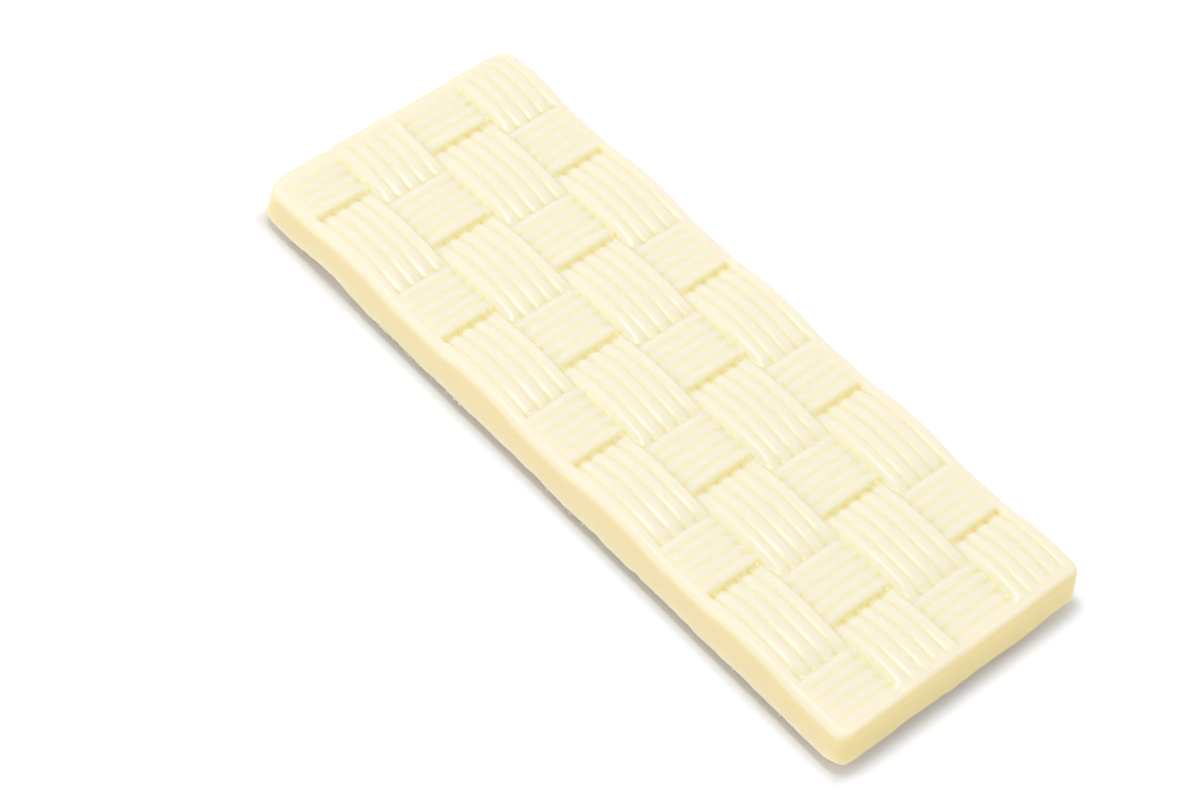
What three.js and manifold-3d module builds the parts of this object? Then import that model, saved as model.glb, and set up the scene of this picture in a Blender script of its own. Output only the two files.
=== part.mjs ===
// A moulded white chocolate bar with a basket-weave face, lying weave side up on its crumbed back.
// Millimetres, +Z up. +X runs along the bar, +Y across it. The origin is on the floor under its middle.
import * as THREE from 'three';
import { mergeVertices } from 'three/addons/utils/BufferGeometryUtils.js';
import Module from 'manifold-3d';

// The weave's layout: ribbons along the bar lie in columns, and ribbons across it lie in rows.
const ROW_PITCH = 13;
const ROWS = 9;
const COLUMN_PITCH = 10.9;
const COLUMNS = 4;
const RIBS_PER_RIBBON = 5;

// The bar's outline and section.
const BAR_LENGTH = 114;
const BAR_WIDTH = COLUMNS * COLUMN_PITCH;
const CORNER_RADIUS = 2.1;
const WALL_DRAFT = 0.4;
const RIM_INSET = 1;
const RIM_HEIGHT = 1.9;
const RIM_TURN = 0.45 * Math.PI;
const CRUMB_STANDOFF = 1.6;
const BACK_Z = CRUMB_STANDOFF;
const GROOVE_Z = BACK_Z + 5.25;
const RIM_SPRING_Z = BACK_Z + 4.85;

// The smooth shoulder inside the rim: the ribs end before it, and it closes the grooves.
const SHOULDER_WIDTH = 1.3;
const SHOULDER_FADE_END = 2.3;
const SHOULDER_Z = BACK_Z + 5.55;

// The short ribbons that cross the bar.
const CROSS_VISIBLE = 0.73 * ROW_PITCH;
const CROSS_TOP_Z = BACK_Z + 5.85;
const CROSS_DIP = 0.3;
const CROSS_OVERLAP = 0.3;
const CROSS_RIB_DEPTH = 0.15;

// The long ribbons that arch over them.
const ARCH_LENGTH = 1.3 * ROW_PITCH;
const ARCH_OFFSET = 0.045 * ROW_PITCH;
const ARCH_TOP_Z = BACK_Z + 6.6;
const ARCH_DROP = 1.2;
const ARCH_FULLNESS = 2.4;
const ARCH_PILLOW = 0.08;
const ARCH_RIB_DEPTH = 0.27;

// The first row's middle lies this far in from the bar's far end.
const FIRST_ROW_X = -BAR_LENGTH / 2 + 4.1;

// A pass of a ribbon is a block whose foot lies this far under the grooves, and is at least this thick.
const FOOT_DEPTH = 1;
const THINNEST_PASS = 0.1;

// Crumb lumps under the back. The bar rests on their flattened tips.
const LUMPS = 9;
const LUMP_SPAN = 94;
const LUMP_SWAY = 14;
const LUMP_TURN = 2.4;
const LUMP_RADIUS = 1.9;
const LUMP_RADIUS_SPREAD = 0.8;
const LUMP_NARROWING = 0.85;
const GOLDEN_SHARE = 0.618;
const LUMP_FLAT_DEPTH = 0.35;
const ICOSAHEDRON_TILT = Math.atan2(2, 1 + Math.sqrt(5));

// Facets across one rib's round, and along one pass of a ribbon.
const ARCH_RIB_FACETS = 4;
const ARCH_FACETS_ALONG = 6;
const CROSS_RIB_FACETS = 3;
const CROSS_FACETS_ALONG = 3;
const RIM_STEPS = 3;
const CORNER_SEGMENTS = 5;

const wasm = await Module();
wasm.setup();

function toSolid(geometry) {
  const bare = geometry.index ? geometry.toNonIndexed() : geometry.clone();
  bare.deleteAttribute('normal');
  bare.deleteAttribute('uv');
  const merged = mergeVertices(bare, 1e-4);
  return new wasm.Manifold(new wasm.Mesh({
    numProp: 3,
    vertProperties: new Float32Array(merged.attributes.position.array),
    triVerts: new Uint32Array(merged.index.array),
  }));
}

function toGeometry(solid) {
  const mesh = solid.getMesh();
  const geometry = new THREE.BufferGeometry();
  geometry.setAttribute('position', new THREE.BufferAttribute(mesh.vertProperties, 3));
  geometry.setIndex(new THREE.BufferAttribute(mesh.triVerts, 1));
  geometry.computeVertexNormals();
  return geometry;
}

// How far the surface lies below the ribs' crests: round crests with a valley at every rib's edge.
function ribDip(across, width, depth) {
  const ribPitch = width / RIBS_PER_RIBBON;
  const fromEdge = (across + width / 2) / ribPitch;
  const fromCrest = 2 * (fromEdge - Math.floor(fromEdge)) - 1;
  return depth * fromCrest * fromCrest;
}

// How much of the ribs' depth is left at a place of the bar: none on the shoulder.
function ribShare(x, y) {
  const inset = Math.min(BAR_LENGTH / 2 - Math.abs(x), BAR_WIDTH / 2 - Math.abs(y));
  return THREE.MathUtils.smoothstep(inset, SHOULDER_WIDTH, SHOULDER_FADE_END);
}

function archTop(along, across, share) {
  const reach = Math.abs(along) / (ARCH_LENGTH / 2);
  const pillow = ARCH_PILLOW * (2 * across / COLUMN_PITCH) ** 2;
  const drop = ARCH_DROP * reach ** ARCH_FULLNESS;
  return ARCH_TOP_Z - drop - pillow - share * ribDip(across, COLUMN_PITCH, ARCH_RIB_DEPTH);
}

function crossTop(along, across, share) {
  const dip = CROSS_DIP * Math.abs(2 * across / COLUMN_PITCH) ** 3;
  return CROSS_TOP_Z - dip - share * ribDip(along, CROSS_VISIBLE, CROSS_RIB_DEPTH);
}

// A block whose top follows a ribbon's height function. Its foot stands inside the slab.
function reliefBlock(sizeX, sizeY, segmentsX, segmentsY, topOf, centreX, centreY) {
  const foot = GROOVE_Z - FOOT_DEPTH;
  const block = new THREE.BoxGeometry(sizeX, sizeY, 1, segmentsX, segmentsY, 1);
  const points = block.attributes.position;
  for (let i = 0; i < points.count; i++) {
    const x = points.getX(i);
    const y = points.getY(i);
    const height = topOf(x, y, ribShare(centreX + x, centreY + y));
    const onTop = points.getZ(i) > 0;
    points.setZ(i, onTop ? Math.max(height, foot + THINNEST_PASS) : foot);
  }
  block.translate(centreX, centreY, 0);
  return toSolid(block);
}

function archPass(x, y) {
  const facets = RIBS_PER_RIBBON * ARCH_RIB_FACETS;
  const middleX = x + ARCH_OFFSET;
  return reliefBlock(ARCH_LENGTH, COLUMN_PITCH, ARCH_FACETS_ALONG, facets, archTop, middleX, y);
}

function crossPass(x, y) {
  const facets = RIBS_PER_RIBBON * CROSS_RIB_FACETS;
  const width = COLUMN_PITCH + 2 * CROSS_OVERLAP;
  return reliefBlock(CROSS_VISIBLE, width, facets, CROSS_FACETS_ALONG, crossTop, x, y);
}

// One pass of a ribbon at every crossing: the crossing ribbon is on top at every other one.
function weave() {
  const passes = [];
  for (let row = 0; row < ROWS; row++) {
    for (let column = 0; column < COLUMNS; column++) {
      const x = FIRST_ROW_X + row * ROW_PITCH;
      const y = (column - (COLUMNS - 1) / 2) * COLUMN_PITCH;
      const crossOnTop = (row + column) % 2 === 0;
      passes.push(crossOnTop ? crossPass(x, y) : archPass(x, y));
    }
  }
  return passes;
}

function roundedRectangle(length, width, radius) {
  const x = length / 2;
  const y = width / 2;
  const shape = new THREE.Shape();
  shape.absarc(x - radius, y - radius, radius, 0, Math.PI / 2);
  shape.absarc(radius - x, y - radius, radius, Math.PI / 2, Math.PI);
  shape.absarc(radius - x, radius - y, radius, Math.PI, 1.5 * Math.PI);
  shape.absarc(x - radius, radius - y, radius, 1.5 * Math.PI, 2 * Math.PI);
  return shape;
}

// The moulded outer form: walls that widen towards the back, and a rim that rolls over at the top.
function outerForm() {
  const levels = [[BACK_Z, -WALL_DRAFT], [RIM_SPRING_Z, 0]];
  for (let i = 1; i <= RIM_STEPS; i++) {
    const angle = (i / RIM_STEPS) * RIM_TURN;
    const inset = RIM_INSET * (1 - Math.cos(angle));
    levels.push([RIM_SPRING_Z + RIM_HEIGHT * Math.sin(angle), inset]);
  }
  const steps = levels.length - 1;
  const outline = roundedRectangle(BAR_LENGTH, BAR_WIDTH, CORNER_RADIUS);
  const form = new THREE.ExtrudeGeometry(outline, {
    depth: steps, steps, bevelEnabled: false, curveSegments: CORNER_SEGMENTS,
  });
  const points = form.attributes.position;
  const coreX = BAR_LENGTH / 2 - CORNER_RADIUS;
  const coreY = BAR_WIDTH / 2 - CORNER_RADIUS;
  for (let i = 0; i < points.count; i++) {
    const [z, inset] = levels[Math.round(points.getZ(i))];
    const nearX = THREE.MathUtils.clamp(points.getX(i), -coreX, coreX);
    const nearY = THREE.MathUtils.clamp(points.getY(i), -coreY, coreY);
    const keep = (CORNER_RADIUS - inset) / CORNER_RADIUS;
    const x = nearX + (points.getX(i) - nearX) * keep;
    const y = nearY + (points.getY(i) - nearY) * keep;
    points.setXYZ(i, x, y, z);
  }
  return toSolid(form);
}

// The body below the grooves, wider than the bar until the outer form trims it.
function slab() {
  const depth = GROOVE_Z - BACK_Z;
  const spare = CORNER_RADIUS;
  const block = new THREE.BoxGeometry(BAR_LENGTH + spare, BAR_WIDTH + spare, depth);
  block.translate(0, 0, BACK_Z + depth / 2);
  return toSolid(block);
}

// The band inside the bar's outline that closes the grooves' ends.
function shoulder() {
  const foot = GROOVE_Z - FOOT_DEPTH;
  const band = roundedRectangle(BAR_LENGTH, BAR_WIDTH, CORNER_RADIUS);
  const innerLength = BAR_LENGTH - 2 * SHOULDER_WIDTH;
  const innerWidth = BAR_WIDTH - 2 * SHOULDER_WIDTH;
  band.holes.push(roundedRectangle(innerLength, innerWidth, CORNER_RADIUS - SHOULDER_WIDTH));
  const ring = new THREE.ExtrudeGeometry(band, {
    depth: SHOULDER_Z - foot, bevelEnabled: false, curveSegments: CORNER_SEGMENTS,
  });
  ring.translate(0, 0, foot);
  return toSolid(ring);
}

// A clump of crumbs: a lopsided ball half sunk in the back, flat where it meets the floor.
function crumbLump(index) {
  const share = (GOLDEN_SHARE * (index + 1)) % 1;
  const radius = LUMP_RADIUS + LUMP_RADIUS_SPREAD * share;
  const lump = new THREE.IcosahedronGeometry(radius, 1);
  lump.rotateX(ICOSAHEDRON_TILT);
  lump.rotateZ(LUMP_TURN * index);
  lump.scale(1, LUMP_NARROWING, (CRUMB_STANDOFF + LUMP_FLAT_DEPTH) / radius);
  const x = LUMP_SPAN * (index / (LUMPS - 1) - 0.5);
  const y = LUMP_SWAY * Math.cos(LUMP_TURN * index + GOLDEN_SHARE);
  lump.translate(x, y, BACK_Z);
  const points = lump.attributes.position;
  for (let i = 0; i < points.count; i++) {
    points.setZ(i, Math.max(points.getZ(i), 0));
  }
  return toSolid(lump);
}

function buildBar() {
  let woven = slab().add(shoulder());
  for (const pass of weave()) {
    woven = woven.add(pass);
  }
  let bar = woven.intersect(outerForm());
  for (let index = 0; index < LUMPS; index++) {
    bar = bar.add(crumbLump(index));
  }
  return toGeometry(bar);
}

const whiteChocolate = new THREE.MeshStandardMaterial({
  color: 0xfdf3d2,
  roughness: 0.42,
  metalness: 0,
});

const bar = new THREE.Mesh(buildBar(), whiteChocolate);
bar.name = 'chocolate_bar';

const model = new THREE.Group();
model.add(bar);

export default model;
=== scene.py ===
import math

import bmesh
import bpy
import numpy as np
from mathutils import Matrix, Vector, noise


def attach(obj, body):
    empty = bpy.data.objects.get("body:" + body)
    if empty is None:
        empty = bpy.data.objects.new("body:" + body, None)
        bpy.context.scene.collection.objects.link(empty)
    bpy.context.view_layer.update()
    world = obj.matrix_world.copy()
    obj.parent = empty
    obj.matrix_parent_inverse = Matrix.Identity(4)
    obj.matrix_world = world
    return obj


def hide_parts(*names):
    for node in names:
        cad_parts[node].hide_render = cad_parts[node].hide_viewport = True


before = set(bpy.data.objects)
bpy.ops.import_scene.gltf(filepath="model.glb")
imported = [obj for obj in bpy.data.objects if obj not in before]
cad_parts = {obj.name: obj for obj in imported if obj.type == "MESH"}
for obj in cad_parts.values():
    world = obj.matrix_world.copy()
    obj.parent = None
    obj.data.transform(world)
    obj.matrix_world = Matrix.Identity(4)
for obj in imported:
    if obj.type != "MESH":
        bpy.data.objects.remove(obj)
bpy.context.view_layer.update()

# A moulded white chocolate bar with a basket-weave face. It lies weave side up on its crumbed back.
# Lengths are in millimetres until a finished mesh is scaled to metres. +X runs along the bar, +Y
# across it, and the floor is at height 0.

MM = 0.001
TINY = 1e-6

# The weave: ribbons along the bar lie in columns, and ribbons across it lie in rows.
ROW_PITCH = 13.0
ROWS = 9
COLUMN_PITCH = 10.9
COLUMNS = 4
RIBS = 5
WEAVE_SHIFT = -0.9
FIRST_ROW_X = WEAVE_SHIFT - (ROWS - 1) / 2 * ROW_PITCH

# The bar's outline and section. The rim turns a little less than a quarter, to meet the wall's draft.
BAR_LENGTH = 114.0
BAR_WIDTH = COLUMNS * COLUMN_PITCH
CORNER_RADIUS = 2.1
WALL_DRAFT = 0.4
LIP_CORNER_PULL = 0.08
RIM_RADIUS = 1.0
RIM_TURN = 0.997
BACK_Z = 1.6
GROOVE_Z = BACK_Z + 5.25
CORE_X = BAR_LENGTH / 2 - CORNER_RADIUS
CORE_Y = BAR_WIDTH / 2 - CORNER_RADIUS

# Inside the rim runs a smooth shoulder without ribs, and towards the short ends it is nearly level.
SHOULDER_FADE = (1.3, 2.3)
END_LEVEL_SHARE = 0.65
END_LEVEL_REACH = (0.6, 6.0)
END_LEVEL_Z = BACK_Z + 6.25

# Ribs: how round their valleys are, and how much deeper the valleys grow towards a ribbon's ends.
VALLEY_ROUNDNESS = 0.18
VALLEY_POWER = 4
END_DEEPENING = 0.6
DEEPENING_POWER = 8

# The short ribbons that cross the bar.
CROSS_VISIBLE = 0.73 * ROW_PITCH
CROSS_TOP_Z = BACK_Z + 5.85
CROSS_DIP = 0.3
CROSS_DIP_POWER = 3
CROSS_RIB_DEPTH = 0.15
CROSS_EDGE_ROUND = 0.55
CROSS_EDGE_STEEPNESS = 2.2

# The long ribbons that arch over them. Their flanks are gentle towards -Y and steep on the far side.
ARCH_LENGTH = 1.3 * ROW_PITCH
ARCH_OFFSET = 0.045 * ROW_PITCH
ARCH_TOP_Z = BACK_Z + 6.6
ARCH_DROP = 1.2
ARCH_FULLNESS = 2.4
ARCH_PILLOW = 0.08
ARCH_RIB_DEPTH = 0.27
ARCH_END_ROUND = 0.35
ARCH_END_SCALLOP = 0.35
FLANK_ROUND = 1.2
FLANK_STEEPNESS = 0.33
FAR_FLANK_ROUND = 0.5
FAR_FLANK_STEEPNESS = 2.4
SHOULDER_FLANK_ROUND = 1.7
SHOULDER_FLANK_STEEPNESS = 0.3
END_STEEPNESS = 5.0

# Where ribbons meet: a fillet, which widens towards an arch's flanks.
FILLET = 0.3
FOOT_WIDENING = 2.0
FOOT_REACH = (4.2, 5.2)

# How far from its middle each ribbon is worked out, as a share of its own size.
COLUMN_SPAN = 0.57
ARCH_SPAN = 0.55
CROSS_SPAN = 0.6
CROSS_CREST_SPAN = 0.7

# Little pits where the arches' valleys meet the grooves.
PIT_DEPTH = 0.22
PIT_REACH_ALONG = 0.32
PIT_REACH_ACROSS = 0.4
PIT_SETBACK = 0.05

# Painted shade: the chocolate is painted yellower along the grooves, and in dots at the ends of the
# crosses' valleys, where shade falls.
GROOVE_LINE = CROSS_VISIBLE / 2 + 0.33
GROOVE_REACH = 0.41
GROOVE_SHADE_SHARE = 0.64
FAR_GROOVE_SHADE_SHARE = 0.2
DOT_LINE = 0.46 * COLUMN_PITCH
DOT_REACH = 0.5
DOT_SHADE_SHARE = 0.75

# Unevenness: how far each kind swings, the size of its features, and its seed.
FACE_WAVER = (0.02, 7.0, 3.1)
WALL_WAVER = (0.06, 6.0, 8.3)
LIP_WAVE = (0.36, 7.0, 5.9)
LIP_RIPPLE = (0.2, 2.0, 1.7)
LIP_FLASH = (0.09, 1.8, 1.7)
BACK_WAVER = (0.08, 5.0, 12.4)
CRUMB_PATCHES = (0.9, 6.0, 21.5)
CRUMB_SPECKLE = (0.6, 1.8, 31.5)

# The lower lip, up to which the chocolate was poured: it rises and falls, most at a few dimples.
# Each dimple has a place, a rise and a reach. The lip's band of the wall is given as a share of the
# wall's height.
LIP_RISE = 0.2
LIP_BAND = 0.1
LIP_TUCK = 0.07
WALL_HEIGHT = 5.0
DIMPLES = (
    ((-42.5, -22.0), 0.85, 4.2),
    ((57.0, 18.5), 0.8, 3.2),
    ((57.0, -9.0), 0.4, 5.0),
    ((57.0, -19.5), 0.5, 4.0),
)

# The back: the lip turns in by two rings, each with an inset and a sink, and then a grid closes it.
LIP_TURNS = ((0.35, 0.06), (0.9, 0.03))
LIP_BLEND = (1.0, 4.5)
BACK_INSET = 1.6
BACK_CELLS_ALONG = 104
BACK_CELLS_ACROSS = 38

# The face slumps a little towards some corners, by this much at (end, side).
CORNER_REACH = (6.0, 3.5)
CORNER_FALLS = {(-1, -1): 1.0, (1, -1): 0.5, (-1, 1): 0.5, (1, 1): 0.0}

# The rim is duller than the face, and painted a little darker as painted shade; both fade into the face.
RIM_REACH = (0.4, 2.0)

# Painted shade: the walls are painted darker and yellower than the face, most at the short ends.
LONG_SIDE_SHADE = 0.71
RIM_FADE = (0.25, 2.0)
END_RIM_SHADE = 0.87
END_RIM_FADE = (0.0, 0.45)
END_WALL_SHADE = 0.94
END_WALL_FADE = (0.6, 2.2)
LIP_PALENESS = 0.55
LIP_PALENESS_POWER = 4
TURNED_LIP_SHADE = 0.5

# Colours, as the shaders take them.
CREAM = (0.923, 0.838, 0.668)
CREAM_CLOUD = (0.932, 0.85, 0.693)
# Painted light: the valleys' cream has more red and less blue than the face's, standing in for warm
# light scattered into them.
VALLEY_LIGHT_CREAM = (1.0, 0.89, 0.55)
# Painted shade: the deep yellow of the grooves and dots.
HOLLOW_SHADE_YELLOW = (1.0, 0.79, 0.24)
# Painted shade: the rim's darker cream.
RIM_SHADE_CREAM = (0.875, 0.812, 0.672)
# Painted shade: the walls' darker yellow.
WALL_SHADE_YELLOW = (0.764, 0.629, 0.262)
CRUMB_TAN = (0.96, 0.77, 0.48)
SUGAR_WHITE = (0.97, 0.93, 0.87)
LIGHTEST_TINT = 0.97

# The larger crumb clumps, which the bar rests on.
LUMPS = 9
LUMP_SPAN = 94.0
LUMP_SWAY = 14.0
LUMP_TURN = 2.4
LUMP_RADIUS = 1.9
LUMP_RADIUS_SPREAD = 0.8
LUMP_NARROWING = 0.85
LUMP_FLAT_DEPTH = 0.35
GOLDEN_SHARE = 0.618

# Smaller clumps between them. An area is given as its half length and half width.
SMALL_CLUMPS = 14
SMALL_CLUMP_AREA = (53.0, 18.5)
SMALL_CLUMP_CLEARANCE = 5.0
SMALL_CLUMP_RADII = (0.8, 1.5)
SMALL_CLUMP_NARROWING = (0.75, 1.0)
SMALL_CLUMP_HEIGHT = 0.85
SMALL_CLUMP_SINK = 0.1

# Fine crumbs: how thickly they lie, and how clear of the sides and the short ends.
CRUMBS = 9000
CRUMB_COVER = 0.62
CRUMB_SIDE_MARGIN = (0.4, 3.5)
CRUMB_END_MARGIN = (1.0, 9.0)
STRAY_SHARE = 0.02
STRAY_INSET = 0.35
LEAST_CRUMB = 0.13
CRUMB_LIFT = 0.25

# Sugar. Some grains hang under the lips, half of them on one stretch and most on the -Y side.
SUGAR_GRAINS = 14000
GRAINS_PER_CLUMP = 170
GRAINS_PER_SPRINKLE = 16
GRAIN_SPREAD = (0.9, 0.9, 0.12)
GRAIN_DROP = 0.75
GRAIN_CLEARANCE = 0.15
LIP_GRAINS = 90
LIP_STRETCH = (-34.0, -15.0)
LIP_STRETCH_SHARE = 0.5
LIP_LENGTH = (-54.0, 54.0)
LIP_FRONT_SHARE = 0.75
LIP_SCATTER = 0.25
LIP_HANG = 0.16

# Sprinkles, and broken bits of them.
SPRINKLES = 42
SPRINKLE_BITS = 16
SPRINKLE_RADIUS = 1.0
SPRINKLE_HALF_LENGTHS = (2.3, 1.9, 2.5, 1.2, 1.5)
SPRINKLE_AREA = (54.0, 18.5)
SPRINKLE_SINK = 0.2
SPRINKLE_CLEARANCE = 3.4
SPRINKLE_CLUMP_CLEARANCE = 2.6

# The camera and the studio. Places and reaches are in metres, and the lens and its sensor in
# millimetres.
CAMERA_PLACE = Vector((0.19764, -0.25216, 0.39531))
CAMERA_AZIMUTH = math.radians(39.486)
CAMERA_ELEVATION = math.radians(51.051)
CAMERA_ROLL = math.radians(10.86)
CAMERA_LENS = 114.0
SENSOR_WIDTH = 36.0
STUDIO_GLOW = 0.805
FLOOR_SIZE = 6.0
# The floor's painted glow, which whitens it from a few millimetres beyond the bar, and its painted
# shadow: darker and warmer at the bar, and a little cooler just beyond.
FLOOR_PAINTED_GLOW = 0.28
FLOOR_PAINTED_GLOW_REACH = 0.0045
FLOOR_SHADOW_REACH = 0.002
FLOOR_SHADOW_FADE_REACH = 0.01
FLOOR_SHADOW_AT_BAR = (0.87, 0.845, 0.82)
FLOOR_SHADOW_EDGE = (0.93, 0.95, 1.0)
FLOOR_PLAIN = (0.96, 0.96, 0.96)
BLACK = (0.0, 0.0, 0.0)
WHITE = (1.0, 1.0, 1.0)


# ---------------------------------------------------------------- shader maths

class Signal:
    """An output of a material's nodes. Operators on it add the Math nodes they need."""

    def __init__(self, finish, socket):
        self.finish = finish
        self.socket = socket

    def maths(self, operation, first, second):
        return self.finish.node("ShaderNodeMath", {"operation": operation}, {0: first, 1: second})

    def __add__(self, other):
        return self.maths("ADD", self, other)

    def __radd__(self, other):
        return self.maths("ADD", other, self)

    def __mul__(self, other):
        return self.maths("MULTIPLY", self, other)

    def __rmul__(self, other):
        return self.maths("MULTIPLY", other, self)


class Finish:
    """One material: its Principled node, and what is made to feed it."""

    def __init__(self, name):
        self.material = bpy.data.materials.new(name)
        self.material.use_nodes = True
        self.tree = self.material.node_tree
        self.surface = self.tree.nodes["Principled BSDF"]

    def node(self, kind, settings=None, sockets=None, output=0):
        """Adds a node with these settings and these values or links, and gives one output."""
        made = self.tree.nodes.new(kind)
        for name, value in (settings or {}).items():
            setattr(made, name, value)
        for name, value in (sockets or {}).items():
            self.feed(made.inputs[name], value)
        return Signal(self, made.outputs[output])

    def feed(self, socket, value):
        if isinstance(value, Signal):
            self.tree.links.new(value.socket, socket)
        elif hasattr(value, "__len__") and socket.type == "RGBA":
            socket.default_value = (*value, 1.0)
        else:
            socket.default_value = value

    def set(self, **values):
        """Sets or links the Principled node's sockets, named with _ for each space."""
        for name, value in values.items():
            self.feed(self.surface.inputs[name.replace("_", " ")], value)

    def place(self):
        """Where a point lies on the object, in metres."""
        return self.node("ShaderNodeTexCoord", output="Object")

    def grain(self, size, detail, roughness=0.5):
        """Noise between 0 and 1 whose features are about this many millimetres."""
        sockets = {"Scale": 1.0 / (size * MM), "Detail": detail, "Roughness": roughness}
        sockets["Vector"] = self.place()
        return self.node("ShaderNodeTexNoise", sockets=sockets)

    def between(self, value, low, high):
        """0 below low, 1 above high, and smooth between them."""
        settings = {"interpolation_type": "SMOOTHSTEP"}
        sockets = {"Value": value, "From Min": low, "From Max": high}
        return self.node("ShaderNodeMapRange", settings, sockets)

    def attribute(self, name, output="Fac"):
        """What the mesh's own layer of this name holds."""
        return self.node("ShaderNodeAttribute", {"attribute_name": name}, output=output)

    def blend(self, share, first, second):
        """A mix of two colours. The Mix node's colours are its inputs 6 and 7 and its output 2."""
        sockets = {0: share, 6: first, 7: second}
        return self.node("ShaderNodeMix", {"data_type": "RGBA"}, sockets, output=2)

    def bump(self, height, strength, distance):
        """A normal that is tilted by this height, over a distance in millimetres."""
        sockets = {"Height": height, "Strength": strength, "Distance": distance * MM}
        return self.node("ShaderNodeBump", sockets=sockets)


def linear(red, green, blue):
    """A colour given as it shows on a screen, from 0 to 255, made linear for the shaders."""
    shares = [value / 255 for value in (red, green, blue)]
    return tuple(s / 12.92 if s <= 0.04045 else ((s + 0.055) / 1.055) ** 2.4 for s in shares)


# ---------------------------------------------------------------- finishes

def white_chocolate():
    """Cream, with painted light and shade: warmer in its valleys as painted light, yellower in its
    hollows and on its walls and darker on its rim as painted shade, and tinted under the crumbs.
    """
    finish = Finish("white_chocolate")
    cloud = finish.grain(size=9.0, detail=3.0)
    fine = finish.grain(size=0.9, detail=4.0, roughness=0.6)
    specks = finish.grain(size=0.5, detail=5.0, roughness=0.7)
    speck = finish.between(specks, low=0.5, high=0.62)
    cream = finish.blend(cloud, CREAM, CREAM_CLOUD)
    # Painted light in the valleys.
    valley_lit = finish.blend(finish.attribute("valley"), cream, VALLEY_LIGHT_CREAM)
    # Painted shade in the hollows.
    face = finish.blend(finish.attribute("hollow_shade"), valley_lit, HOLLOW_SHADE_YELLOW)
    rim = finish.attribute("rim")
    # Painted shade on the rim.
    edge = finish.blend(rim, face, RIM_SHADE_CREAM)
    # Painted shade on the walls and, at the short ends, on the rim.
    wall = finish.blend(finish.attribute("wall"), edge, WALL_SHADE_YELLOW)
    crumbed = finish.attribute("crumbed") * (0.3 + 0.7 * speck)
    colour = finish.blend(crumbed, wall, CRUMB_TAN)
    finish.set(
        Base_Color=colour,
        Roughness=0.17 + 0.07 * fine + 0.16 * rim,
        Subsurface_Weight=1.0,
        Subsurface_Radius=(1.0, 0.85, 0.6),
        Subsurface_Scale=2.0 * MM,
        Specular_IOR_Level=0.5,
        IOR=1.46,
        Normal=finish.bump(fine, strength=0.12, distance=0.05),
    )
    return finish.material


def topping(name, roughness, lift, mottle):
    """A topping whose pieces carry their own tint, with paler spots on each."""
    finish = Finish(name)
    spots = finish.grain(size=mottle, detail=3.0)
    tint = finish.attribute("tint", "Color")
    finish.set(
        Base_Color=finish.blend(spots * lift, tint, SUGAR_WHITE),
        Roughness=roughness + 0.15 * spots,
        IOR=1.5,
        Normal=finish.bump(spots, strength=0.3, distance=0.08),
    )
    return finish.material


# ---------------------------------------------------------------- meshes

def finish_piece(name, bm, material):
    """Makes the piece's object from a mesh in millimetres, and hands it to the frame."""
    bmesh.ops.scale(bm, vec=(MM, MM, MM), verts=bm.verts)
    mesh = bpy.data.meshes.new(name)
    bm.to_mesh(mesh)
    bm.free()
    return add_piece(name, mesh, material)


def add_piece(name, mesh, material):
    """Makes an object that rides on the bar's body from a finished mesh."""
    mesh.materials.append(material)
    mesh.shade_smooth()
    piece = bpy.data.objects.new(name, mesh)
    bpy.context.scene.collection.objects.link(piece)
    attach(piece, "root")
    return piece


def ripple(point, swing, size, seed):
    """Smooth unevenness up to about swing, whose features are about size millimetres."""
    return swing * noise.noise(Vector(point) / size + Vector((seed, 0.0, 0.0)))


def clamp(value, low=0.0, high=1.0):
    return min(max(value, low), high)


def smooth_step(value, low, high):
    """0 below low, 1 above high, and smooth between them."""
    share = clamp((value - low) / (high - low))
    return share * share * (3 - 2 * share)


def soft_max(first, second, reach):
    """The larger of two heights, with a fillet where they meet."""
    overlap = max(reach - abs(first - second), 0.0) / reach
    return max(first, second) + overlap * overlap * reach / 4


# ---------------------------------------------------------------- the weave

def rib_dip(across, width):
    """How far the surface has fallen from a rib's crest: 0 on it, and about 0.8 in the valleys."""
    rib_width = width / RIBS
    rib = clamp(math.floor((across + width / 2) / rib_width), 0, RIBS - 1)
    crest = (rib + 0.5) * rib_width - width / 2
    share = 2 * abs(across - crest) / rib_width
    return share * share * (1 - VALLEY_ROUNDNESS * min(share, 1.0) ** VALLEY_POWER)


def past(distance, limit, roundness):
    """How far a place is past the start of a rounded edge."""
    return max(abs(distance) - (limit - roundness), 0.0)


def arch_crest(along, across):
    """The height along an arch's ribs: it falls towards both ends, and a little to the sides."""
    drop = ARCH_DROP * (abs(along) / (ARCH_LENGTH / 2)) ** ARCH_FULLNESS
    return ARCH_TOP_Z - drop - ARCH_PILLOW * (2 * across / COLUMN_PITCH) ** 2


def flank(across, roundness, steepness):
    """How far an arch's side has fallen at a place across it."""
    return steepness * past(across, COLUMN_PITCH / 2, roundness) ** 2


def either_flank(across):
    """The fall of both sides: the side towards -Y falls gently, and the other one steeply."""
    if across < 0:
        return flank(across, FLANK_ROUND, FLANK_STEEPNESS)
    return flank(across, FAR_FLANK_ROUND, FAR_FLANK_STEEPNESS)


def arch_height(along, across):
    """An arch's ribbed surface, with a steep end that is scalloped at the valleys."""
    dip = rib_dip(across, COLUMN_PITCH)
    reach = abs(along) / (ARCH_LENGTH / 2)
    end_limit = ARCH_LENGTH / 2 - ARCH_END_SCALLOP * min(dip, 1.0)
    end = END_STEEPNESS * past(along, end_limit, ARCH_END_ROUND) ** 2
    depth = ARCH_RIB_DEPTH * (1 + END_DEEPENING * reach ** DEEPENING_POWER)
    return arch_crest(along, across) - depth * dip - end


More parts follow.
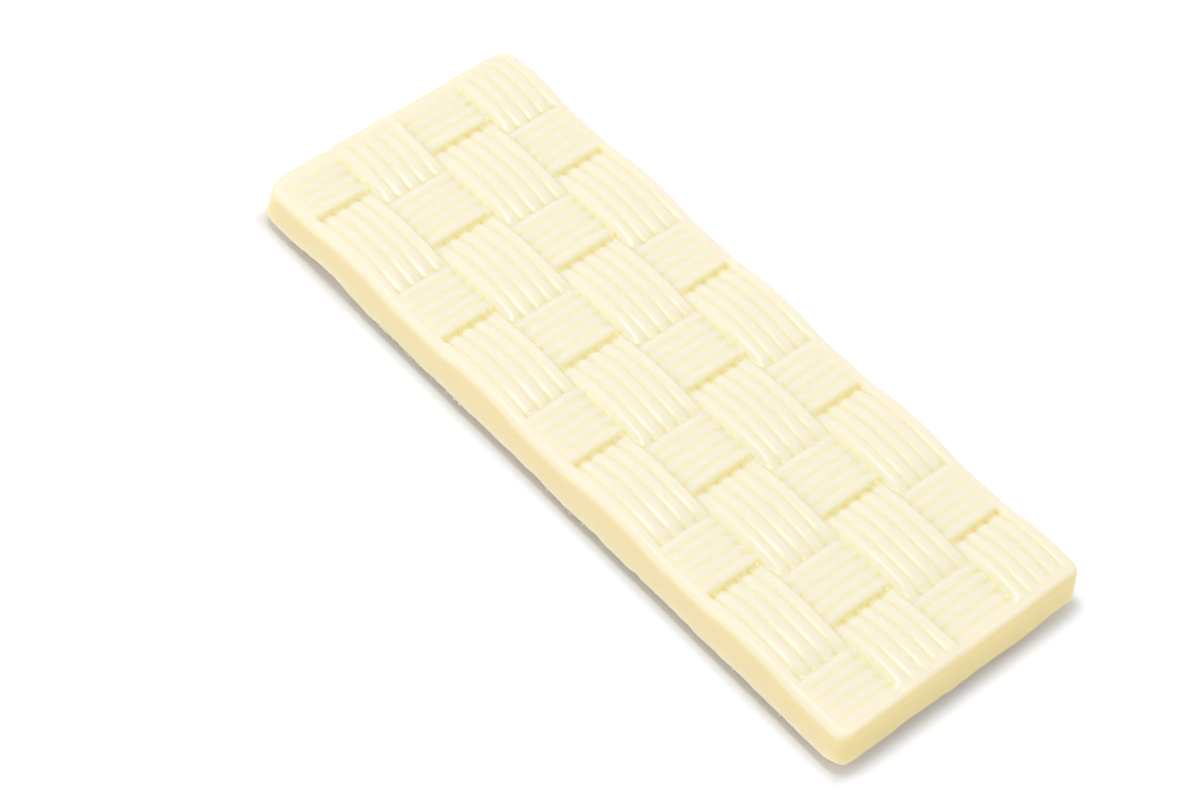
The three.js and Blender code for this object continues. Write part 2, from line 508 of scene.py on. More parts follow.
def cross_crest(across):
    """The height along a cross's ribs: it dips under the arches on both sides."""
    return CROSS_TOP_Z - CROSS_DIP * abs(2 * across / COLUMN_PITCH) ** CROSS_DIP_POWER


def cross_height(along, across):
    """A cross's ribbed surface, with rounded edges."""
    side = CROSS_EDGE_STEEPNESS * past(along, CROSS_VISIBLE / 2, CROSS_EDGE_ROUND) ** 2
    reach = abs(2 * across / COLUMN_PITCH)
    depth = CROSS_RIB_DEPTH * (1 + END_DEEPENING * reach ** DEEPENING_POWER)
    return cross_crest(across) - depth * rib_dip(along, CROSS_VISIBLE) - side


def groove_floor(along, across):
    """The floor of the groove before an arch, with a pit at each of the arch's valleys."""
    rib_width = COLUMN_PITCH / RIBS
    valley = round(across / rib_width - 0.5) * rib_width + rib_width / 2
    off_across = (across - valley) / PIT_REACH_ACROSS
    off_along = (abs(along) - ARCH_LENGTH / 2 + PIT_SETBACK) / PIT_REACH_ALONG
    return GROOVE_Z - PIT_DEPTH * math.exp(-off_across ** 2 - off_along ** 2)


def weave_heights(x, y):
    """The woven face's height, its height without ribs, and how far it has fallen into a valley."""
    height = GROOVE_Z - 2 * PIT_DEPTH
    envelope = height
    dip = 0.0
    nearest = round((x - FIRST_ROW_X) / ROW_PITCH)
    for column in range(COLUMNS):
        middle = (column - (COLUMNS - 1) / 2) * COLUMN_PITCH
        across = y - middle
        if abs(across) > COLUMN_SPAN * COLUMN_PITCH:
            continue
        outer = abs(y) > abs(middle) > COLUMN_PITCH
        shoulder_steep = 0.0 if outer else SHOULDER_FLANK_STEEPNESS
        for row in range(nearest - 1, nearest + 2):
            along = x - FIRST_ROW_X - row * ROW_PITCH
            if (row + column) % 2 == 0:
                if abs(along) < CROSS_SPAN * CROSS_VISIBLE:
                    cross = cross_height(along, across)
                    dip = rib_dip(along, CROSS_VISIBLE) if cross > height else dip
                    height = soft_max(height, cross, FILLET)
                if abs(along) < CROSS_CREST_SPAN * CROSS_VISIBLE:
                    envelope = soft_max(envelope, cross_crest(across), 2 * FILLET)
            elif abs(along - ARCH_OFFSET) < ARCH_SPAN * ARCH_LENGTH:
                along -= ARCH_OFFSET
                arch = arch_height(along, across) - (0.0 if outer else either_flank(across))
                dip = rib_dip(across, COLUMN_PITCH) if arch > height else dip
                foot = FILLET * (1 + FOOT_WIDENING * smooth_step(abs(across), *FOOT_REACH))
                height = soft_max(height, max(arch, groove_floor(along, across)), foot)
                crest = arch_crest(along, across)
                crest -= flank(across, SHOULDER_FLANK_ROUND, shoulder_steep)
                envelope = soft_max(envelope, crest, 2 * FILLET)
    return height, envelope, dip


def nearest_cross(x, y):
    """The place along and across the nearest cross of this column, from its middle."""
    column = clamp(math.floor(y / COLUMN_PITCH + COLUMNS / 2), 0, COLUMNS - 1)
    first = FIRST_ROW_X + (column % 2) * ROW_PITCH
    along = (x - first + ROW_PITCH) % (2 * ROW_PITCH) - ROW_PITCH
    return along, y - (column - (COLUMNS - 1) / 2) * COLUMN_PITCH


def hollow_shade_share(x, y):
    """How much painted shade, in deep yellow, the chocolate gets: most in the groove between a cross and
    the next arch.
    """
    along, across = nearest_cross(x, y)
    off_line = (abs(along) - GROOVE_LINE) / GROOVE_REACH
    pit = clamp(rib_dip(across, COLUMN_PITCH)) ** 2
    in_groove = GROOVE_SHADE_SHARE + (1 - GROOVE_SHADE_SHARE) * pit if along > 0 else FAR_GROOVE_SHADE_SHARE
    in_groove *= math.exp(-off_line * off_line)
    off_end = (abs(across) - DOT_LINE) / DOT_REACH
    dot = DOT_SHADE_SHARE * clamp(rib_dip(along, CROSS_VISIBLE)) ** 2 * math.exp(-off_end * off_end)
    return max(in_groove, dot if abs(along) < CROSS_VISIBLE / 2 else 0.0)


# ---------------------------------------------------------------- the moulded bar

def core_point(x, y):
    """The nearest point of the rectangle that the outline's corners are rounded about."""
    return Vector((clamp(x, -CORE_X, CORE_X), clamp(y, -CORE_Y, CORE_Y)))


def end_share(x, y):
    """1 at the bar's short ends, 0 along its long sides, and between them round a corner."""
    past_x = max(abs(x) - CORE_X, 0.0)
    past_y = max(abs(y) - CORE_Y, 0.0)
    return past_x * past_x / max(past_x * past_x + past_y * past_y, TINY)


def inset_from_edge(x, y):
    """How far inside the bar's outline a place lies."""
    past_x = abs(x) - CORE_X
    past_y = abs(y) - CORE_Y
    outside = math.hypot(max(past_x, 0), max(past_y, 0))
    return CORNER_RADIUS - outside - min(max(past_x, past_y), 0)


def rim_drop(inset):
    """How far the rounded rim has fallen from the face. It turns until it meets the wall's slope."""
    share = RIM_TURN * clamp(1 - inset / RIM_RADIUS)
    return RIM_RADIUS * (1 - math.sqrt(1 - share * share))


def corner_fall(x, y):
    """How far the face has fallen towards a corner."""
    share_x = clamp(1 - (BAR_LENGTH / 2 - abs(x)) / CORNER_REACH[0])
    share_y = clamp(1 - (BAR_WIDTH / 2 - abs(y)) / CORNER_REACH[1])
    return CORNER_FALLS[(1 if x > 0 else -1, 1 if y > 0 else -1)] * share_x * share_y


def round_corner(x, y):
    """Moves a place in a corner's square into that corner's quarter round."""
    past_x = (abs(x) - CORE_X) / CORNER_RADIUS
    past_y = (abs(y) - CORE_Y) / CORNER_RADIUS
    if past_x <= 0 or past_y <= 0:
        return x, y
    round_x = past_x * math.sqrt(1 - past_y * past_y / 2)
    round_y = past_y * math.sqrt(1 - past_x * past_x / 2)
    new_x = CORE_X + round_x * CORNER_RADIUS
    new_y = CORE_Y + round_y * CORNER_RADIUS
    return math.copysign(new_x, x), math.copysign(new_y, y)


# How far inside the outline the face's grid lines run round the rim.
RIM_LINES = (0.0, 0.015, 0.06, 0.14, 0.25, 0.4, 0.58, 0.78, 1.0)


def lines_across():
    """Where the face's grid lines run along the bar: close at the columns' edges."""
    outer_rib = (0.0, 0.06, 0.13, 0.21, 0.31, 0.42, 0.53, 0.65, 0.77, 0.89)
    cells_per_rib = 8
    rib_width = COLUMN_PITCH / RIBS
    lines = []
    for column in range(COLUMNS):
        edge = (column - COLUMNS / 2) * COLUMN_PITCH
        lines += [edge + share * rib_width for share in outer_rib]
        inner_cells = cells_per_rib * (RIBS - 2)
        inner_width = (RIBS - 2) * rib_width
        lines += [edge + rib_width + i / inner_cells * inner_width for i in range(inner_cells)]
        lines += [edge + COLUMN_PITCH - share * rib_width for share in reversed(outer_rib[1:])]
        lines.append(edge + (RIBS - 1) * rib_width)
    return with_rim_lines(lines, BAR_WIDTH / 2)


def lines_along():
    """Where the face's grid lines run across the bar: close at the grooves."""
    half = CROSS_VISIBLE / 2
    gap = ROW_PITCH - CROSS_VISIBLE
    groove = (0.0, 0.08, 0.17, 0.28, 0.4, 0.52, 0.66, 0.82, 1.0)
    cross_cells = 30
    arch_cells = 7
    lines = []
    for row in range(-1, ROWS + 1):
        middle = FIRST_ROW_X + row * ROW_PITCH
        lines += [middle - half + i / cross_cells * CROSS_VISIBLE for i in range(cross_cells)]
        lines += [middle + half + share for share in groove]
        start = middle + half + groove[-1]
        lines += [start + (i + 1) / (arch_cells + 1) * (gap - groove[-1]) for i in range(arch_cells)]
    return with_rim_lines(lines, BAR_LENGTH / 2)


def with_rim_lines(lines, half):
    """Keeps the lines inside the rim, and adds the rim's own on both sides."""
    clearance = 0.12
    inner = sorted(line for line in lines if abs(line) < half - RIM_LINES[-1] - clearance)
    rim = [half - inset for inset in RIM_LINES]
    return [-line for line in rim] + inner + rim[::-1]


def lined_grid(bm, along, across):
    """A flat grid whose lines run at the given places."""
    columns = len(along) - 1
    rows = len(across) - 1
    made = bmesh.ops.create_grid(bm, x_segments=columns, y_segments=rows, size=0.5)["verts"]
    for vert in made:
        column = round((vert.co.x + 0.5) * columns)
        row = round((vert.co.y + 0.5) * rows)
        vert.co.x = along[column]
        vert.co.y = across[row]
    return made


def woven_face(bm, valley, hollow_shade, wall, rim):
    """Makes the face with its rim, and writes the layers that colour it: painted light in the valleys,
    painted shade in the hollows, on the rim and on the walls.
    """
    for vert in lined_grid(bm, lines_along(), lines_across()):
        x, y = round_corner(vert.co.x, vert.co.y)
        inset = max(inset_from_edge(x, y), 0.0)
        woven, smooth, dip = weave_heights(x, y)
        filled = 1 - smooth_step(inset, *SHOULDER_FADE)
        height = woven + filled * (smooth - woven)
        levelled = 1 - smooth_step(BAR_LENGTH / 2 - abs(x), *END_LEVEL_REACH)
        height += END_LEVEL_SHARE * levelled * (END_LEVEL_Z - smooth)
        vert[valley] = (1 - filled) * clamp(dip) ** 2
        vert[hollow_shade] = (1 - filled) * hollow_shade_share(x, y)
        vert[wall] = rim_shade(end_share(x, y), inset)
        vert[rim] = 1 - smooth_step(inset, *RIM_REACH)
        height -= rim_drop(inset) + corner_fall(x, y)
        vert.co = (x, y, height + ripple((x, y, 0), *FACE_WAVER))


def lip_height(x, y):
    """The back's height at the lip: waves, fine ripples, and the dimples."""
    height = BACK_Z + LIP_RISE
    height += ripple((x, y, 0), *LIP_WAVE) + ripple((x, y, 0), *LIP_RIPPLE)
    for place, rise, reach in DIMPLES:
        away = math.dist((x, y), place) / reach
        height += rise * math.exp(-away * away)
    return height


# The heights of the wall's rings, as shares of the wall from the lip up.
WALL_SHARES = (0.9, 0.72, 0.54, 0.37, 0.23, 0.12, 0.05, 0.01, 0.0)


def next_ring(bm, edges):
    """Extrudes an open edge, and gives the new edge and its points."""
    made = bmesh.ops.extrude_edge_only(bm, edges=edges)["geom"]
    ring = [item for item in made if isinstance(item, bmesh.types.BMEdge) and item.is_boundary]
    return ring, {vert for edge in ring for vert in edge.verts}


def long_side_shade(beyond_face):
    """How much painted shade a long side gets at a distance measured over the rim from the face's edge.
    """
    return LONG_SIDE_SHADE * smooth_step(beyond_face, *RIM_FADE)


def rim_shade(at_end, inset):
    """How much painted shade the face's rim gets. At a short end it comes close to the wall's painted
    shade.
    """
    share = clamp(1 - inset / RIM_RADIUS)
    over_rim = RIM_RADIUS * math.asin(share) if share > 0 else RIM_RADIUS - inset
    long_side = long_side_shade(over_rim)
    end = END_RIM_SHADE * (1 - smooth_step(inset, 0.0, RIM_RADIUS))
    return long_side + at_end * (end - long_side)


def wall_shade(at_end, below_rim, share):
    """How much painted shade the wall gets: most just below a short end's rim, and less near the long
    lips.
    """
    long_side = long_side_shade(RIM_RADIUS * math.pi / 2 + below_rim)
    long_side *= 1 - LIP_PALENESS * (1 - share) ** LIP_PALENESS_POWER
    end = END_RIM_SHADE + (1 - END_RIM_SHADE) * smooth_step(below_rim, *END_RIM_FADE)
    end -= (1 - END_WALL_SHADE) * smooth_step(below_rim, *END_WALL_FADE)
    return long_side + at_end * (end - long_side)


def walls(bm, spring, wall):
    """Extrudes the face's edge down to the back, wider by the draft, with an uneven lower lip."""
    edges = [edge for edge in bm.edges if edge.is_boundary]
    for vert in {vert for edge in edges for vert in edge.verts}:
        vert[spring] = vert.co.z
    for share in WALL_SHARES:
        edges, ring = next_ring(bm, edges)
        for vert in ring:
            core = core_point(vert.co.x, vert.co.y)
            away = (vert.co.xy - core).normalized()
            along_wall = (vert.co.x, vert.co.y, WALL_HEIGHT * share)
            waver = (1 - share) * ripple(along_wall, *WALL_WAVER)
            lip = max(0.0, 1 - share / LIP_BAND)
            flash = lip * ripple(along_wall, *LIP_FLASH)
            spread = WALL_DRAFT * (1 - share) + waver + flash - LIP_TUCK * lip * lip
            squarer = LIP_CORNER_PULL * (1 - share) * (2 * away.x * away.y) ** 2
            at = core + away * (CORNER_RADIUS + spread + squarer)
            bottom = lip_height(vert.co.x, vert.co.y)
            level = bottom + (vert[spring] - bottom) * share
            # Painted shade on the wall.
            vert[wall] = wall_shade(end_share(at.x, at.y), vert[spring] - level, share)
            vert.co = (at.x, at.y, level)
    return edges


def even_lines(half, cells):
    """Evenly spaced grid lines from -half to half."""
    return [half * (2 * i / cells - 1) for i in range(cells + 1)]


def back(bm, edges, wall, crumbed):
    """Turns the lower lip in, then joins it to a coarser grid that closes the back."""
    for inset, sink in LIP_TURNS:
        edges, ring = next_ring(bm, edges)
        for vert in ring:
            core = core_point(vert.co.x, vert.co.y)
            away = (vert.co.xy - core).normalized()
            squarer = LIP_CORNER_PULL * (2 * away.x * away.y) ** 2
            at = core + away * (CORNER_RADIUS + WALL_DRAFT + squarer - inset)
            # The turned lip keeps half of the walls' painted shade.
            vert[wall] = TURNED_LIP_SHADE
            vert.co = (at.x, at.y, lip_height(at.x, at.y) - sink)
    along = even_lines(BAR_LENGTH / 2 - BACK_INSET, BACK_CELLS_ALONG)
    across = even_lines(BAR_WIDTH / 2 - BACK_INSET, BACK_CELLS_ACROSS)
    fill = lined_grid(bm, along, across)
    for vert in fill:
        vert.co.z = back_height(vert.co.x, vert.co.y)
        vert[crumbed] = crumb_cover(vert.co.x, vert.co.y)
    inner = {edge for vert in fill for edge in vert.link_edges if edge.is_boundary}
    bmesh.ops.bridge_loops(bm, edges=list(inner) + edges)


def back_height(x, y):
    """The back's height: nearly flat in the middle, and following the lip near the edges."""
    level = BACK_Z + ripple((x, y, 0), *BACK_WAVER)
    share = 1 - smooth_step(inset_from_edge(x, y), *LIP_BLEND)
    return level + share * (lip_height(x, y) - level)


def crumb_cover(x, y):
    """How thickly the crumbs lie on the back: clear near the edges, and patchy between."""
    cover = CRUMB_COVER + ripple((x, y, 0), *CRUMB_PATCHES) + ripple((x, y, 0), *CRUMB_SPECKLE)
    beside = smooth_step(inset_from_edge(x, y), *CRUMB_SIDE_MARGIN)
    before_end = smooth_step(BAR_LENGTH / 2 - abs(x), *CRUMB_END_MARGIN)
    return clamp(cover) * beside * before_end


def moulded_bar():
    """The whole bar as one closed mesh. All its layers are made before its first point."""
    bm = bmesh.new()
    spring = bm.verts.layers.float.new("spring")
    valley = bm.verts.layers.float.new("valley")
    hollow_shade = bm.verts.layers.float.new("hollow_shade")
    wall = bm.verts.layers.float.new("wall")
    rim = bm.verts.layers.float.new("rim")
    crumbed = bm.verts.layers.float.new("crumbed")
    woven_face(bm, valley, hollow_shade, wall, rim)
    lip = walls(bm, spring, wall)
    back(bm, lip, wall, crumbed)
    bmesh.ops.recalc_face_normals(bm, faces=bm.faces)
    bm.verts.layers.float.remove(spring)
    piece = finish_piece("moulded_bar", bm, white_chocolate())
    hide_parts("chocolate_bar")


# ---------------------------------------------------------------- toppings on the back

def small_shape(bm):
    """A small shape's points and triangles as arrays."""
    bmesh.ops.triangulate(bm, faces=bm.faces)
    bm.verts.ensure_lookup_table()
    points = np.array([vert.co for vert in bm.verts])
    corners = np.array([[vert.index for vert in face.verts] for face in bm.faces])
    bm.free()
    return points, corners


def pebble(detail, roughness, grain, seed):
    """A ball of radius 1 with coarse lumps, and finer ones on them."""
    bm = bmesh.new()
    bmesh.ops.create_icosphere(bm, subdivisions=detail, radius=1.0)
    for vert in bm.verts:
        lumps = ripple(vert.co, 1.0, grain, seed) + ripple(vert.co, 0.5, grain / 3, seed)
        vert.co *= 1 + roughness * lumps
    return small_shape(bm)


def sugar_crystal():
    """A block that is flatter than it is wide."""
    bm = bmesh.new()
    bmesh.ops.create_cube(bm, size=1.5)
    bmesh.ops.scale(bm, vec=(1.0, 0.8, 0.6), verts=bm.verts)
    return small_shape(bm)


def sprinkle_shape(half_length, seed):
    """A bent, lumpy rod along X with round ends, a slight waist and a radius of about 1."""
    stretched_to = 0.5
    waist_depth = 0.2
    waist_sharpness = 4
    lump_size = 0.7
    bend_swing = 0.3
    bend_turn = 1.3
    bm = bmesh.new()
    bmesh.ops.create_uvsphere(bm, u_segments=18, v_segments=18, radius=1.0)
    for vert in bm.verts:
        x, y, z = vert.co
        stretch = math.copysign((half_length - 1) * min(abs(z) / stretched_to, 1.0), z)
        waist = 1 - waist_depth * math.exp(-(waist_sharpness * z) ** 2)
        waist += ripple(vert.co, 0.5, lump_size, seed)
        end = 1 + ripple(vert.co, 0.15, lump_size, seed)
        bend = bend_swing * math.sin(bend_turn * z + seed)
        vert.co = (x * waist + bend, y * waist, z * end + stretch)
    lying = Matrix.Rotation(math.pi / 2, 3, "Y")
    bmesh.ops.rotate(bm, verts=bm.verts, cent=(0, 0, 0), matrix=lying)
    return small_shape(bm)


def any_turns(rng, count):
    """Random rotations as matrices, spread evenly over all directions."""
    quaternions = rng.normal(size=(count, 4))
    quaternions /= np.linalg.norm(quaternions, axis=1)[:, None]
    return turn_matrices(quaternions)


def turn_matrices(quaternions):
    """The rotation matrices of quaternions of length 1."""
    w, x, y, z = quaternions.T
    rows = [
        [1 - 2 * (y * y + z * z), 2 * (x * y - z * w), 2 * (x * z + y * w)],
        [2 * (x * y + z * w), 1 - 2 * (x * x + z * z), 2 * (y * z - x * w)],
        [2 * (x * z - y * w), 2 * (y * z + x * w), 1 - 2 * (x * x + y * y)],
    ]
    return np.moveaxis(np.array(rows), 2, 0)


def level_turns(angles):
    """Rotations about the upright axis, as matrices."""
    half = angles / 2
    nothing = np.zeros_like(half)
    return turn_matrices(np.stack([np.cos(half), nothing, nothing, np.sin(half)], axis=1))


def scattered(name, shapes, kinds, turns, sizes, places, tints, material):
    """One joined piece of many small shapes. Each has a kind, turn, size, place and tint."""
    points, corners, colours = [], [], []
    count = 0
    for kind, (shape_points, shape_corners) in enumerate(shapes):
        chosen = np.flatnonzero(kinds == kind)
        scaled = shape_points[None] * sizes[chosen][:, None, :]
        placed = np.einsum("nij,npj->npi", turns[chosen], scaled) + places[chosen][:, None, :]
        offsets = count + np.arange(len(chosen)) * len(shape_points)
        points.append(placed.reshape(-1, 3))
        corners.append((shape_corners[None] + offsets[:, None, None]).reshape(-1, 3))
        colours.append(np.repeat(tints[chosen], len(shape_points), axis=0))
        count += len(chosen) * len(shape_points)
    points = np.concatenate(points)
    points[:, 2] = np.maximum(points[:, 2], 0.0)  # flattened where they stand on the floor
    colours = np.concatenate(colours)
    mesh = bpy.data.meshes.new(name)
    mesh.from_pydata((points * MM).tolist(), [], np.concatenate(corners).tolist())
    tint = mesh.color_attributes.new("tint", "FLOAT_COLOR", "POINT")
    opaque = np.ones((len(colours), 1))
    tint.data.foreach_set("color", np.concatenate([colours, opaque], axis=1).ravel())
    add_piece(name, mesh, material)


def any_spot(rng, half_length, half_width):
    """A random place in a rectangle round the middle of the back."""
    return rng.uniform(-half_length, half_length), rng.uniform(-half_width, half_width)


def clump_places(rng):
    """Where the clumps lie, and their half widths, half depths and heights."""
    places, sizes = [], []
    for index in range(LUMPS):
        share = (GOLDEN_SHARE * (index + 1)) % 1
        radius = LUMP_RADIUS + LUMP_RADIUS_SPREAD * share
        x = LUMP_SPAN * (index / (LUMPS - 1) - 0.5)
        y = LUMP_SWAY * math.cos(LUMP_TURN * index + GOLDEN_SHARE)
        places.append((x, y, BACK_Z))
        sizes.append((radius, radius * LUMP_NARROWING, BACK_Z + LUMP_FLAT_DEPTH))
    while len(places) < LUMPS + SMALL_CLUMPS:
        x, y = any_spot(rng, *SMALL_CLUMP_AREA)
        if all(math.hypot(x - px, y - py) > SMALL_CLUMP_CLEARANCE for px, py, _ in places):
            radius = rng.uniform(*SMALL_CLUMP_RADII)
            narrowing = rng.uniform(*SMALL_CLUMP_NARROWING)
            places.append((x, y, BACK_Z - SMALL_CLUMP_SINK))
            sizes.append((radius, radius * narrowing, radius * SMALL_CLUMP_HEIGHT))
    return np.array(places), np.array(sizes)


def pick_tints(rng, palette, count, spread):
    """A colour of the palette for each, each a little lighter or darker."""
    chosen = np.array(palette)[rng.integers(len(palette), size=count)]
    return np.clip(chosen * rng.normal(1.0, spread, size=(count, 1)), 0.0, LIGHTEST_TINT)


def crumb_clumps(rng, places, sizes):
    """The rough pale clumps, the larger of which hold the bar up."""
    count = len(places)
    seeds = (2.5, 17.5, 33.5)
    shapes = [pebble(detail=5, roughness=0.2, grain=0.4, seed=seed) for seed in seeds]
    kinds = np.arange(count) % len(shapes)
    turns = level_turns(LUMP_TURN * np.arange(count))
    palette = [
        linear(232, 216, 186), linear(252, 218, 196), linear(224, 224, 196),
        linear(246, 218, 170), linear(250, 232, 212),
    ]
    tints = pick_tints(rng, palette, count, spread=0.02)
    finish = topping("crumb_clumps", roughness=0.75, lift=0.35, mottle=0.5)
    scattered("crumb_clumps", shapes, kinds, turns, sizes, places, tints, finish)


def lip_spots(rng, count):
    """Random places under the long sides' lips."""
    spots = []
    for _ in range(count):
        x = rng.uniform(*(LIP_STRETCH if rng.random() < LIP_STRETCH_SHARE else LIP_LENGTH))
        side = -1 if rng.random() < LIP_FRONT_SHARE else 1
        y = side * (BAR_WIDTH / 2 + WALL_DRAFT - abs(rng.normal(0.0, LIP_SCATTER)))
        spots.append((x, y, lip_height(x, y) - abs(rng.normal(0.0, LIP_HANG))))
    return np.array(spots)


def cover_spots(rng, count):
    """Random places on the back, more of them where the crumbs lie thickest."""
    spots = []
    while len(spots) < count:
        x, y = any_spot(rng, BAR_LENGTH / 2, BAR_WIDTH / 2)
        if inset_from_edge(x, y) > STRAY_INSET and rng.random() < crumb_cover(x, y) + STRAY_SHARE:
            spots.append((x, y, back_height(x, y)))
    return np.array(spots)


def biscuit_crumbs(rng):
    """Fine crumbs in pale tans and creams, each a little more than half sunk in the back."""
    places = cover_spots(rng, CRUMBS)
    radius = LEAST_CRUMB + rng.gamma(shape=2.0, scale=0.06, size=CRUMBS)
    sizes = radius[:, None] * rng.uniform(low=0.7, high=1.2, size=(CRUMBS, 3))
    places[:, 2] += CRUMB_LIFT * radius
    seeds = (4.5, 14.5, 24.5, 44.5)
    shapes = [pebble(detail=1, roughness=0.45, grain=0.7, seed=seed) for seed in seeds]
    kinds = rng.integers(len(shapes), size=CRUMBS)
    palette = [
        linear(255, 232, 188), linear(255, 222, 198), linear(253, 214, 148),
        linear(255, 236, 200), linear(255, 241, 222), linear(254, 226, 206),
    ]
    tints = pick_tints(rng, palette, CRUMBS, spread=0.02)
    finish = topping("biscuit_crumbs", roughness=0.7, lift=0.25, mottle=0.3)
    turns = any_turns(rng, CRUMBS)
    scattered("biscuit_crumbs", shapes, kinds, turns, sizes, places, tints, finish)


def sugar_grains(rng, clumps, clump_sizes, rods):
    """Sugar over the crumbs, with more on the clumps and on the sprinkles."""
    on_clumps = GRAINS_PER_CLUMP * len(clumps)
    on_rods = GRAINS_PER_SPRINKLE * len(rods)
    loose = cover_spots(rng, SUGAR_GRAINS - on_clumps - on_rods - LIP_GRAINS)
    loose[:, 2] -= rng.uniform(low=-0.05, high=0.18, size=len(loose))
    ways = rng.normal(size=(on_clumps, 3))
    ways[:, 2] = -abs(ways[:, 2])
    ways /= np.linalg.norm(ways, axis=1)[:, None]
    reach = np.repeat(clump_sizes, GRAINS_PER_CLUMP, axis=0)
    on_clump = np.repeat(clumps, GRAINS_PER_CLUMP, axis=0) + ways * reach
    on_rod = np.repeat(rods, GRAINS_PER_SPRINKLE, axis=0)
    on_rod += rng.normal(size=(on_rods, 3)) * GRAIN_SPREAD
    on_rod[:, 2] -= GRAIN_DROP * SPRINKLE_RADIUS
    places = np.concatenate([loose, on_clump, on_rod, lip_spots(rng, LIP_GRAINS)])
    places = places[places[:, 2] > GRAIN_CLEARANCE]
    count = len(places)
    sizes = rng.uniform(low=0.1, high=0.2, size=(count, 1))
    sizes = sizes * rng.uniform(low=0.7, high=1.3, size=(count, 3))
    kinds = np.zeros(count, dtype=int)
    palette = [linear(255, 252, 246), linear(255, 240, 224), linear(255, 228, 216)]
    tints = pick_tints(rng, palette, count, spread=0.01)
    finish = topping("sugar_grains", roughness=0.35, lift=0.2, mottle=0.3)
    turns = any_turns(rng, count)
    shapes = [sugar_crystal()]
    scattered("sugar_grains", shapes, kinds, turns, sizes, places, tints, finish)


def sprinkle_places(rng, clumps):
    """Places for the sprinkles, clear of the clumps and of one another."""
    places = []
    while len(places) < SPRINKLES + SPRINKLE_BITS:
        x, y = any_spot(rng, *SPRINKLE_AREA)
        clear = all(math.hypot(x - px, y - py) > SPRINKLE_CLEARANCE for px, py, _ in places)
        from_clumps = np.min(np.hypot(clumps[:, 0] - x, clumps[:, 1] - y))
        if clear and from_clumps > SPRINKLE_CLUMP_CLEARANCE:
            places.append((x, y, BACK_Z - SPRINKLE_SINK))
    return np.array(places)


def sprinkles(rng, places):
    """Whole sprinkles, and broken bits that take the last places."""
    count = len(places)
    seeds = [3.7 * half_length for half_length in SPRINKLE_HALF_LENGTHS]
    shapes = [sprinkle_shape(*pair) for pair in zip(SPRINKLE_HALF_LENGTHS, seeds)]
    kinds = rng.integers(len(shapes), size=count)
    thickness = rng.uniform(low=0.88, high=1.05, size=(count, 1))
    sizes = SPRINKLE_RADIUS * thickness * np.ones((1, 3))
    sizes[-SPRINKLE_BITS:] *= rng.uniform(low=0.25, high=0.6, size=(SPRINKLE_BITS, 1))
    palette = [
        linear(236, 30, 150), linear(0, 130, 80), linear(205, 32, 45), linear(250, 205, 20),
        linear(236, 60, 165), linear(246, 244, 238), linear(250, 145, 20), linear(178, 172, 190),
        linear(0, 122, 72), linear(238, 40, 150), linear(208, 36, 50),
    ]
    tints = pick_tints(rng, palette, count, spread=0.03)
    finish = topping("sprinkles", roughness=0.28, lift=0.12, mottle=0.8)
    turns = level_turns(rng.uniform(0, math.pi, size=count))
    scattered("sprinkles", shapes, kinds, turns, sizes, places, tints, finish)


def toppings():
    """Everything that is stuck to the back. All of it is drawn from one seeded source, in this order."""
    rng = np.random.default_rng(seed=41)
    clumps, clump_sizes = clump_places(rng)
    rods = sprinkle_places(rng, clumps)
    crumb_clumps(rng, clumps, clump_sizes)
    sprinkles(rng, rods)
    biscuit_crumbs(rng)
    sugar_grains(rng, clumps, clump_sizes, rods[:SPRINKLES])


# ---------------------------------------------------------------- studio

def distance_from_bar(finish):
    """How far a place on the floor lies outside the bar's outline."""
    outline = (BAR_LENGTH / 2 * MM, BAR_WIDTH / 2 * MM, 1.0)
    vector_maths = "ShaderNodeVectorMath"
    beside = finish.node(vector_maths, {"operation": "ABSOLUTE"}, {0: finish.place()})
    beyond = finish.node(vector_maths, {"operation": "SUBTRACT"}, {0: beside, 1: outline})
    outside = finish.node(vector_maths, {"operation": "MAXIMUM"}, {0: beyond, 1: (0, 0, 0)})
    return finish.node(vector_maths, {"operation": "LENGTH"}, {0: outside}, output="Value")


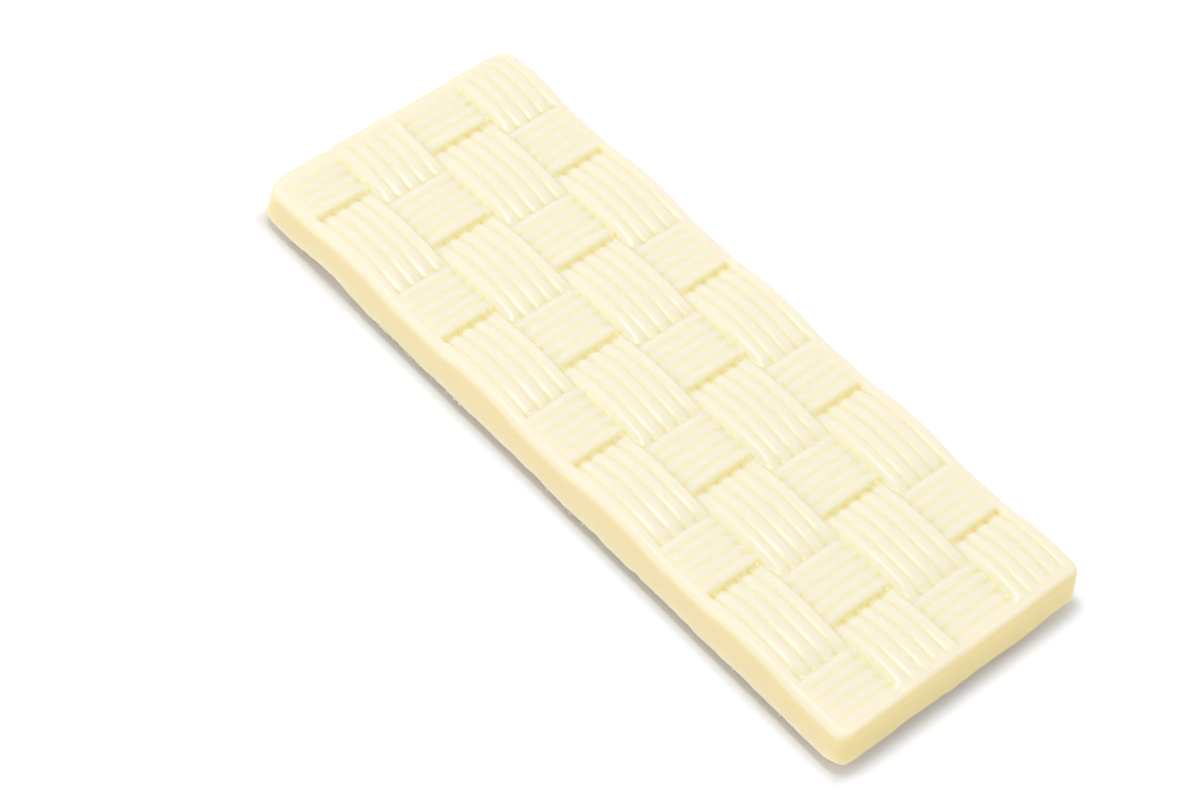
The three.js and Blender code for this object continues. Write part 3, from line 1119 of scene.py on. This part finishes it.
def floor():
    """A plain white floor with a painted shadow: painted darker and warmer right beside the bar, a
    little cooler just beyond, and glowing white, as painted light, further out.
    """
    bm = bmesh.new()
    bmesh.ops.create_grid(bm, x_segments=1, y_segments=1, size=FLOOR_SIZE / 2)
    mesh = bpy.data.meshes.new("floor")
    bm.to_mesh(mesh)
    bm.free()
    finish = Finish("white_sweep_painted_shadow")
    away = distance_from_bar(finish)
    past_shadow_core = finish.between(away, 0.0, FLOOR_SHADOW_REACH)
    past_shadow = finish.between(away, FLOOR_SHADOW_REACH, FLOOR_SHADOW_FADE_REACH)
    painted_glow = finish.between(away, 0.0, FLOOR_PAINTED_GLOW_REACH)
    finish.set(
        Base_Color=finish.blend(past_shadow, finish.blend(past_shadow_core, FLOOR_SHADOW_AT_BAR, FLOOR_SHADOW_EDGE), FLOOR_PLAIN),
        Roughness=0.9,
        Specular_IOR_Level=0.1,
        Emission_Color=finish.blend(painted_glow, BLACK, WHITE),
        Emission_Strength=FLOOR_PAINTED_GLOW,
    )
    mesh.materials.append(finish.material)
    piece = bpy.data.objects.new("floor", mesh)
    bpy.context.scene.collection.objects.link(piece)


def softbox(name, place, size, glow):
    """An area light that faces the bar. Its face is as bright as glow."""
    light = bpy.data.lights.new(name, "AREA")
    light.shape = "RECTANGLE"
    light.size, light.size_y = size
    light.energy = glow * math.pi * size[0] * size[1]
    lamp = bpy.data.objects.new(name, light)
    lamp.location = place
    lamp.rotation_mode = "QUATERNION"
    lamp.rotation_quaternion = Vector(place).to_track_quat("Z", "Y")
    bpy.context.scene.collection.objects.link(lamp)


def studio():
    """Even white light from all round, a bright softbox overhead and a weaker one to the -X/-Y side."""
    floor()
    world = bpy.data.worlds.new("studio")
    world.use_nodes = True
    background = world.node_tree.nodes["Background"]
    background.inputs["Color"].default_value = (*WHITE, 1.0)
    background.inputs["Strength"].default_value = STUDIO_GLOW
    bpy.context.scene.world = world
    softbox("overhead", place=(-0.085, -0.041, 0.65), size=(0.125, 0.205), glow=11.5)
    softbox("side_fill", place=(-0.55, -0.45, 0.42), size=(0.5, 0.5), glow=0.95)
    bpy.context.scene.view_settings.view_transform = "Standard"


def camera():
    """The camera, turned from level by its azimuth and elevation, and then rolled."""
    lens = bpy.data.cameras.new("camera")
    lens.lens = CAMERA_LENS
    lens.sensor_width = SENSOR_WIDTH
    view = bpy.data.objects.new("camera", lens)
    level = Vector((math.cos(CAMERA_AZIMUTH), math.sin(CAMERA_AZIMUTH), 0.0))
    back_way = Vector((
        math.sin(CAMERA_AZIMUTH) * math.cos(CAMERA_ELEVATION),
        -math.cos(CAMERA_AZIMUTH) * math.cos(CAMERA_ELEVATION),
        math.sin(CAMERA_ELEVATION),
    ))
    right = level * math.cos(CAMERA_ROLL) + back_way.cross(level) * math.sin(CAMERA_ROLL)
    up = back_way.cross(right)
    turn = Matrix((right, up, back_way)).transposed()
    view.matrix_world = Matrix.Translation(CAMERA_PLACE) @ turn.to_4x4()
    bpy.context.scene.collection.objects.link(view)
    bpy.context.scene.camera = view


camera()
studio()
moulded_bar()
toppings()
